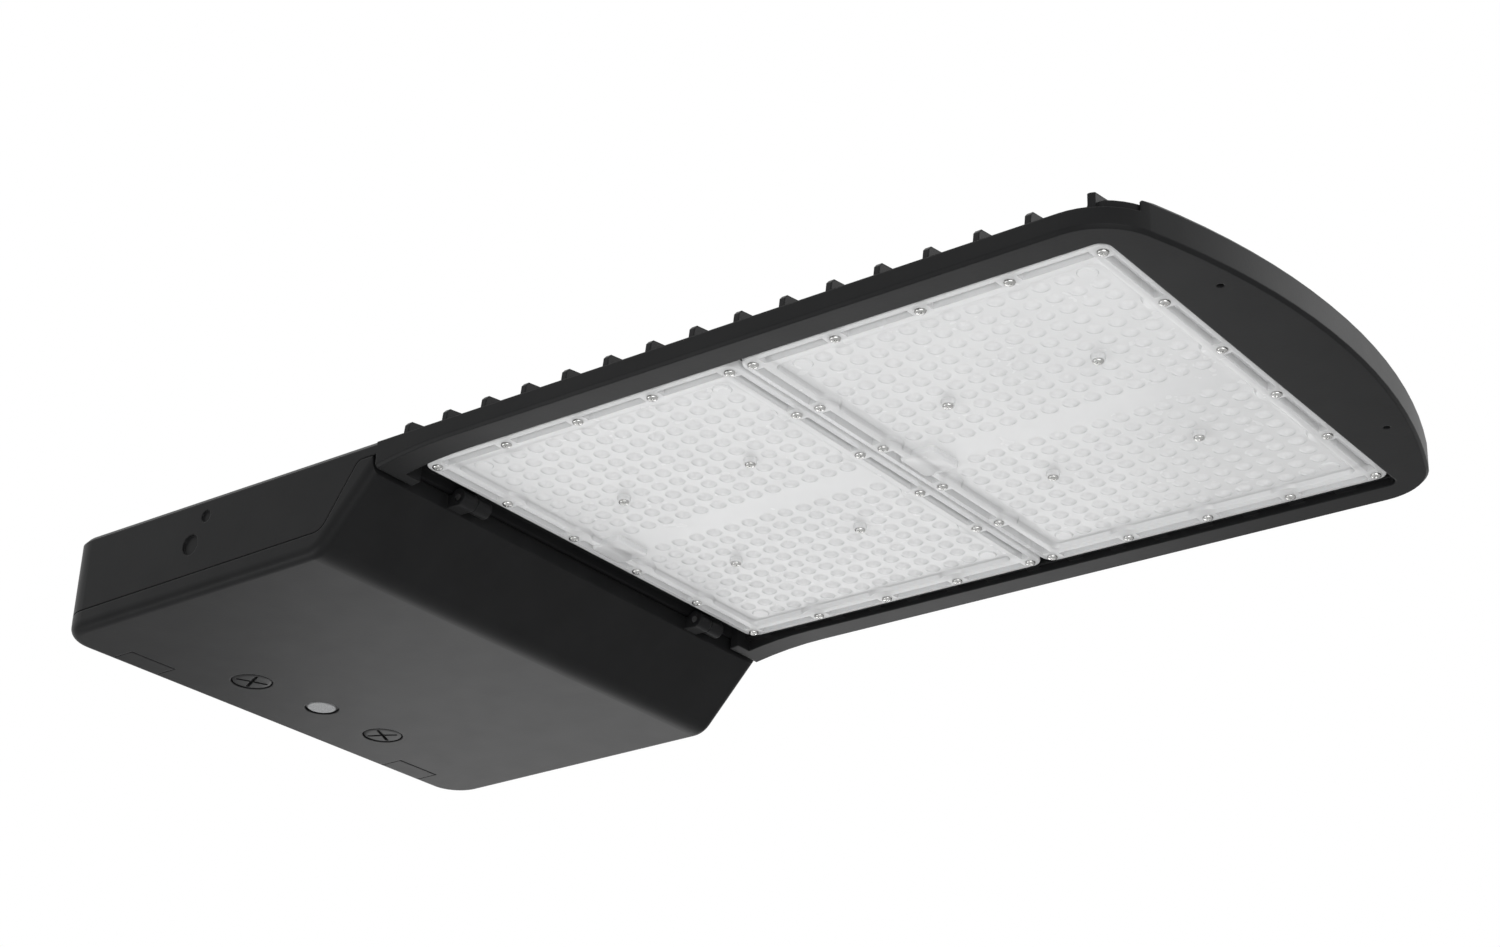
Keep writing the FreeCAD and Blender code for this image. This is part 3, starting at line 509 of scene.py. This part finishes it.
def flange_grooves():
    """Grooves between the rim screws, and the hollow behind the field."""
    tools = []
    low, high = -PLATE_FACE - 1, -GROOVE_FLOOR
    for i in (-1.5, -0.5, 0.5, 1.5):
        reach = SCREW_STEP_X / 2 - GROOVE_CLEAR
        for s in (-1, 1):
            y0, y1 = sorted((s * (SCREW_Y - GROOVE_INSIDE), s * (SCREW_Y + GROOVE_WIDE - GROOVE_SHIFT)))
            x = i * SCREW_STEP_X
            tools.append(block(x - reach, x + reach, y0, y1, low, high, GROOVE_DRAFT))
    for i in range(-2, 3):
        reach = SCREW_STEP_Y / 2 - GROOVE_CLEAR
        for s in (-1, 1):
            x0, x1 = sorted((s * (SCREW_X - GROOVE_INSIDE), s * (SCREW_X + GROOVE_OUTSIDE)))
            y = i * SCREW_STEP_Y
            tools.append(block(x0, x1, y - reach, y + reach, low, high, GROOVE_DRAFT))
    bx, by, depth = BACK_POCKET
    return tools + [block(-bx, bx, -by, by, -depth, 1.0)]


def field_bosses():
    """Bosses for the board screws, pads at the field's corners and the wire bump."""
    pieces = []
    for x, y in board_screws():
        pieces.append(lathe(x, y, [(BOARD_BOSS - 0.3, -PLATE_FACE + 0.1),
                                   (BOARD_BOSS, -PLATE_FACE + 0.4),
                                   (BOARD_BOSS + 0.3, -POCKET_FLOOR + 0.5)]))
    px, py, radius, rise = CORNER_PAD
    for i in (-1, 1):
        for j in (-1, 1):
            pieces.append(lathe(i * px, j * py, [(radius - 0.5, -POCKET_FLOOR - rise),
                                                 (radius, -POCKET_FLOOR - rise + 0.4),
                                                 (radius + 0.3, -POCKET_FLOOR + 0.4)]))
    outer, inner, half, depth = WIRE_BUMP
    return pieces + [soft_block(outer, inner, -half, half, -depth, -1.2, 3.0, 0.9)]


def lens_shape():
    """One plate about its centre, z = 0 at its back face, in millimetres."""
    shape = combine(plate_body(), join(flange_grooves()), "DIFFERENCE")
    domes = [dome(x, y) for x, y in dome_places()]
    return combine(shape, join(domes + field_bosses()), "UNION")


# ---- screws ----
def cross_recess(x, y, face, size, depth, turn):
    """Cross-shaped cutter for a screw head that faces down."""
    arms = []
    for quarter in (0.0, pi / 2):
        a = turn + quarter
        ux, uy = cos(a), sin(a)
        low, high = [], []
        for along, across in ((-size, -SLOT_HALF), (size, -SLOT_HALF),
                              (size, SLOT_HALF), (-size, SLOT_HALF)):
            low.append((x + along * ux - across * uy, y + along * uy + across * ux, face - 1.0))
            high.append((x + along * 0.45 * ux - across * 0.6 * uy,
                         y + along * 0.45 * uy + across * 0.6 * ux, face + depth))
        arms.append(loft([low, high]))
    return arms


def pan_head(radius, turn):
    """Pan-head screw at the origin: head below z = 0, shank above."""
    height = HEAD_HEIGHT
    profile = [(radius * 0.35, -height), (radius * 0.70, -height * 0.93), (radius * 0.90, -height * 0.72),
               (radius, -height * 0.40), (radius, 0.0), (SHANK_RADIUS, 0.02), (SHANK_RADIUS, SCREW_TIP)]
    shape = lathe(0.0, 0.0, profile, 20)
    arms = cross_recess(0.0, 0.0, -height, radius * 0.58, height * 0.62, turn)
    shape = combine(shape, arms[0], "DIFFERENCE")
    return combine(shape, arms[1], "DIFFERENCE")


def screw_set(name, places, seat, radius, centre):
    """Screws in one piece, each turned a little further than the last."""
    kinds = [pan_head(radius, 0.4 + 0.7 * k) for k in range(HEAD_TURNS)]
    parts = []
    for i, (x, y) in enumerate(places):
        verts, faces = kinds[i % len(kinds)]
        parts.append(([(vx + x, vy + y, vz + seat) for vx, vy, vz in verts], faces))
    return finish_piece(name, join(parts), STEEL, centre)


def led_board(word, centre):
    """White board with a square package under each optic and holes for its screws."""
    low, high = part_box("led_board_" + word)
    base, top = (low.z - centre[2]) / MM, (high.z - centre[2]) / MM
    hx, hy = (high.x - low.x) / 2 / MM, (high.y - low.y) / 2 / MM
    holes = [lathe(x, y, [(BOARD_HOLE, base - 1), (BOARD_HOLE, top + 1)], 20) for x, y in board_screws()]
    shape = combine(block(-hx, hx, -hy, hy, base, top), join(holes), "DIFFERENCE")
    packages = [block(x - LED_HALF, x + LED_HALF, y - LED_HALF, y + LED_HALF, base - LED_HEIGHT, base + 0.1)
                for x, y in dome_places()]
    shape = combine(shape, join(packages), "UNION")
    piece = finish_piece("board_" + word, shape, BOARD, centre)
    piece.data.materials.append(LED)
    under = low.z - 0.25 * LED_HEIGHT * MM
    for face in piece.data.polygons:
        if face.center.z < under:
            face.material_index = 1
    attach(piece, "fixed")
    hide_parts("led_board_" + word)


def optics():
    """Lens plates, their screws and the boards."""
    for word in ("rear", "front"):
        low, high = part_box("lens_plate_" + word)
        centre = ((low.x + high.x) / 2, (low.y + high.y) / 2, high.z)
        plate = finish_piece("lens_" + word, LENS_SHAPE, LENS, centre, 30.0)
        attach(plate, "fixed")
        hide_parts("lens_plate_" + word)
        heads = screw_set("rim_screw_set_" + word, rim_screws(), -PLATE_FACE, RIM_HEAD, centre)
        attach(heads, "fixed")
        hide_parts("lens_screws_" + word)
        heads = screw_set("board_screw_set_" + word, board_screws(), 0.1 - PLATE_FACE, BOARD_HEAD,
                          centre)
        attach(heads, "fixed")
        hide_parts("board_screws_" + word)
        led_board(word, centre)
        dress("lens_gasket_" + word, RUBBER)


# ---- door hardware ----
def quarter_turn(word, side):
    """Coated round head with a cross slot, its stem and its square end."""
    low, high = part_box("quarter_turn_" + word)
    centre = ((low.x + high.x) / 2, (low.y + high.y) / 2, low.z)
    height = (high.z - low.z) / MM
    radius = (high.x - low.x) / 2 / MM
    profile = [(0.8, 0.12), (radius * 0.72, 0.0), (radius * 0.9, 0.12), (radius * 0.97, 0.4),
               (radius, 0.9), (radius, 2.6), (4.0, 2.62), (4.0, height - 7.0)]
    shape = lathe(0.0, 0.0, profile, 48)
    square = block(-TURN_SQUARE, TURN_SQUARE, -TURN_SQUARE, TURN_SQUARE, height - 8.0, height - 0.01)
    shape = combine(shape, square, "UNION")
    for turn in (0, 90):
        a = radians(side * TURN_SLOT_LEAN + turn)
        outline = [(TURN_SLOT_REACH * s + TURN_SLOT_HALF * cos(t), TURN_SLOT_HALF * sin(t))
                   for s, start in ((1, -90), (-1, 90))
                   for t in [radians(start + 30 * i) for i in range(7)]]
        spun = [(x * cos(a) - y * sin(a), x * sin(a) + y * cos(a)) for x, y in outline]
        floor = [(x * 0.93, y * 0.93) for x, y in spun]
        shape = combine(shape, loft([at_height(spun, -1.0), at_height(spun, 0.3),
                                     at_height(floor, 1.7)]), "DIFFERENCE")
    piece = finish_piece("turn_head_" + word, shape, DARK_STEEL, centre)
    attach(piece, "fastener_" + word)
    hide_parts("quarter_turn_" + word)


def vent():
    """Breathing disc, slightly dished and grainy."""
    low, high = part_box("vent_disc")
    centre = ((low.x + high.x) / 2, (low.y + high.y) / 2, low.z)
    radius = (high.y - low.y) / 2 / MM
    height = (high.z - low.z) / MM
    profile = [(0.6, 0.35), (radius * 0.5, 0.28), (radius * 0.8, 0.12), (radius * 0.95, 0.02),
               (radius, 0.25), (radius, height)]
    piece = finish_piece("vent_face", lathe(0.0, 0.0, profile, 40), VENT, centre)
    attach(piece, "door")
    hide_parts("vent_disc")


def door_hardware():
    """Fasteners, latch tabs, pins, keepers, vent and seal."""
    for word, side in (("near", -1), ("far", 1)):
        quarter_turn(word, side)
        dress("latch_tab_" + word, COAT)
        dress("latch_pin_" + word, PIN_STEEL)
        dress("hinge_pin_" + word, PIN_STEEL)
        dress("pawl_" + word, STEEL)
        dress("keeper_" + word, STEEL)
    vent()
    dress("vent_body", BLACK)
    dress("door_gasket", RUBBER)
    dress("keeper_screws", STEEL)


# ---- electrics ----
def electrics():
    """Drivers, surge protector, terminal block and their screws."""
    for node in ("driver_screws", "ground_screw"):
        dress(node, STEEL)
    for word in ("near", "far"):
        dress("led_driver_" + word, WHITE_CAN)
    dress("surge_protector", BLACK)
    dress("terminal_block", BLACK)


# ---- stage, lights and camera ----
def white_for_camera(tree, shade, strength_socket):
    """White where the camera, a reflection or glass sees it; its own level for light."""
    path = tree.nodes.new("ShaderNodeLightPath")
    seen = path.outputs["Is Camera Ray"]
    for extra in ("Is Glossy Ray", "Is Transmission Ray"):
        either = tree.nodes.new("ShaderNodeMath")
        either.operation = "MAXIMUM"
        tree.links.new(seen, either.inputs[0])
        tree.links.new(path.outputs[extra], either.inputs[1])
        seen = either.outputs[0]
    level = tree.nodes.new("ShaderNodeMapRange")
    level.inputs["To Min"].default_value = shade
    level.inputs["To Max"].default_value = 1.0
    tree.links.new(seen, level.inputs["Value"])
    tree.links.new(level.outputs["Result"], strength_socket)


def world():
    """Plain white studio that fills the shade softly."""
    studio = bpy.data.worlds.new("studio")
    studio.use_nodes = True
    back = studio.node_tree.nodes["Background"]
    back.inputs["Color"].default_value = (1.0, 1.0, 1.0, 1.0)
    white_for_camera(studio.node_tree, WORLD_FILL, back.inputs["Strength"])
    bpy.context.scene.world = studio


def floor():
    """Plain pale floor under the hanging part."""
    half = FLOOR_HALF
    mesh = new_mesh("floor", [(-half, -half, FLOOR_HEIGHT), (half, -half, FLOOR_HEIGHT),
                              (half, half, FLOOR_HEIGHT), (-half, half, FLOOR_HEIGHT)],
                    [(0, 1, 2, 3)])
    m = Nodes("floor_pale")
    m.set("Base Color", FLOOR_COLOUR)
    m.set("Roughness", 0.9)
    mesh.materials.append(m.material)
    piece = new_object("floor", mesh)


def area_light(name, place, target, width, height, power):
    """Soft rectangular lamp aimed at a point."""
    data = bpy.data.lights.new(name, "AREA")
    data.shape = "RECTANGLE"
    data.size = width
    data.size_y = height
    data.energy = power
    lamp = bpy.data.objects.new(name, data)
    lamp.location = place
    aim = Vector(target) - Vector(place)
    lamp.rotation_euler = aim.to_track_quat("-Z", "Y").to_euler()
    lamp.visible_camera = False
    bpy.context.scene.collection.objects.link(lamp)


def lights():
    area_light("front_low", (1.35, -0.75, -0.62), (0.40, 0.0, 0.0), 1.1, 0.7, 9.3)
    area_light("far_low", (-0.55, 1.15, -0.62), (0.15, 0.1, 0.0), 1.0, 0.6, 4.0)
    area_light("overhead", (0.2, -0.4, 1.6), (0.36, 0.0, 0.0), 1.6, 1.6, 9.0)
    area_light("near_low", (-0.20, -0.70, -0.75), (0.36, -0.12, 0.0), 0.9, 0.4, 4.5)
    area_light("front_far", (1.50, 1.00, 0.60), (0.68, 0.0, 0.0), 0.8, 0.8, 4.0)


def camera():
    """Camera at the photograph's viewpoint."""
    data = bpy.data.cameras.new("photo_view")
    data.sensor_fit = "HORIZONTAL"
    data.sensor_width = SENSOR_WIDTH
    data.lens = LENS_LENGTH
    data.clip_start = 0.05
    data.clip_end = 50.0
    item = bpy.data.objects.new("photo_view", data)
    turn = Matrix((CAMERA_RIGHT, -CAMERA_DOWN, -CAMERA_FORWARD)).transposed()
    item.matrix_world = Matrix.Translation(CAMERA_PLACE) @ turn.to_4x4()
    bpy.context.scene.collection.objects.link(item)
    bpy.context.scene.camera = item


for cast in ("housing", "door"):
    dress(cast, COAT)
LENS_SHAPE = lens_shape()
optics()
door_hardware()
electrics()
world()
floor()
lights()
camera()
bpy.context.scene.view_settings.view_transform = "Standard"
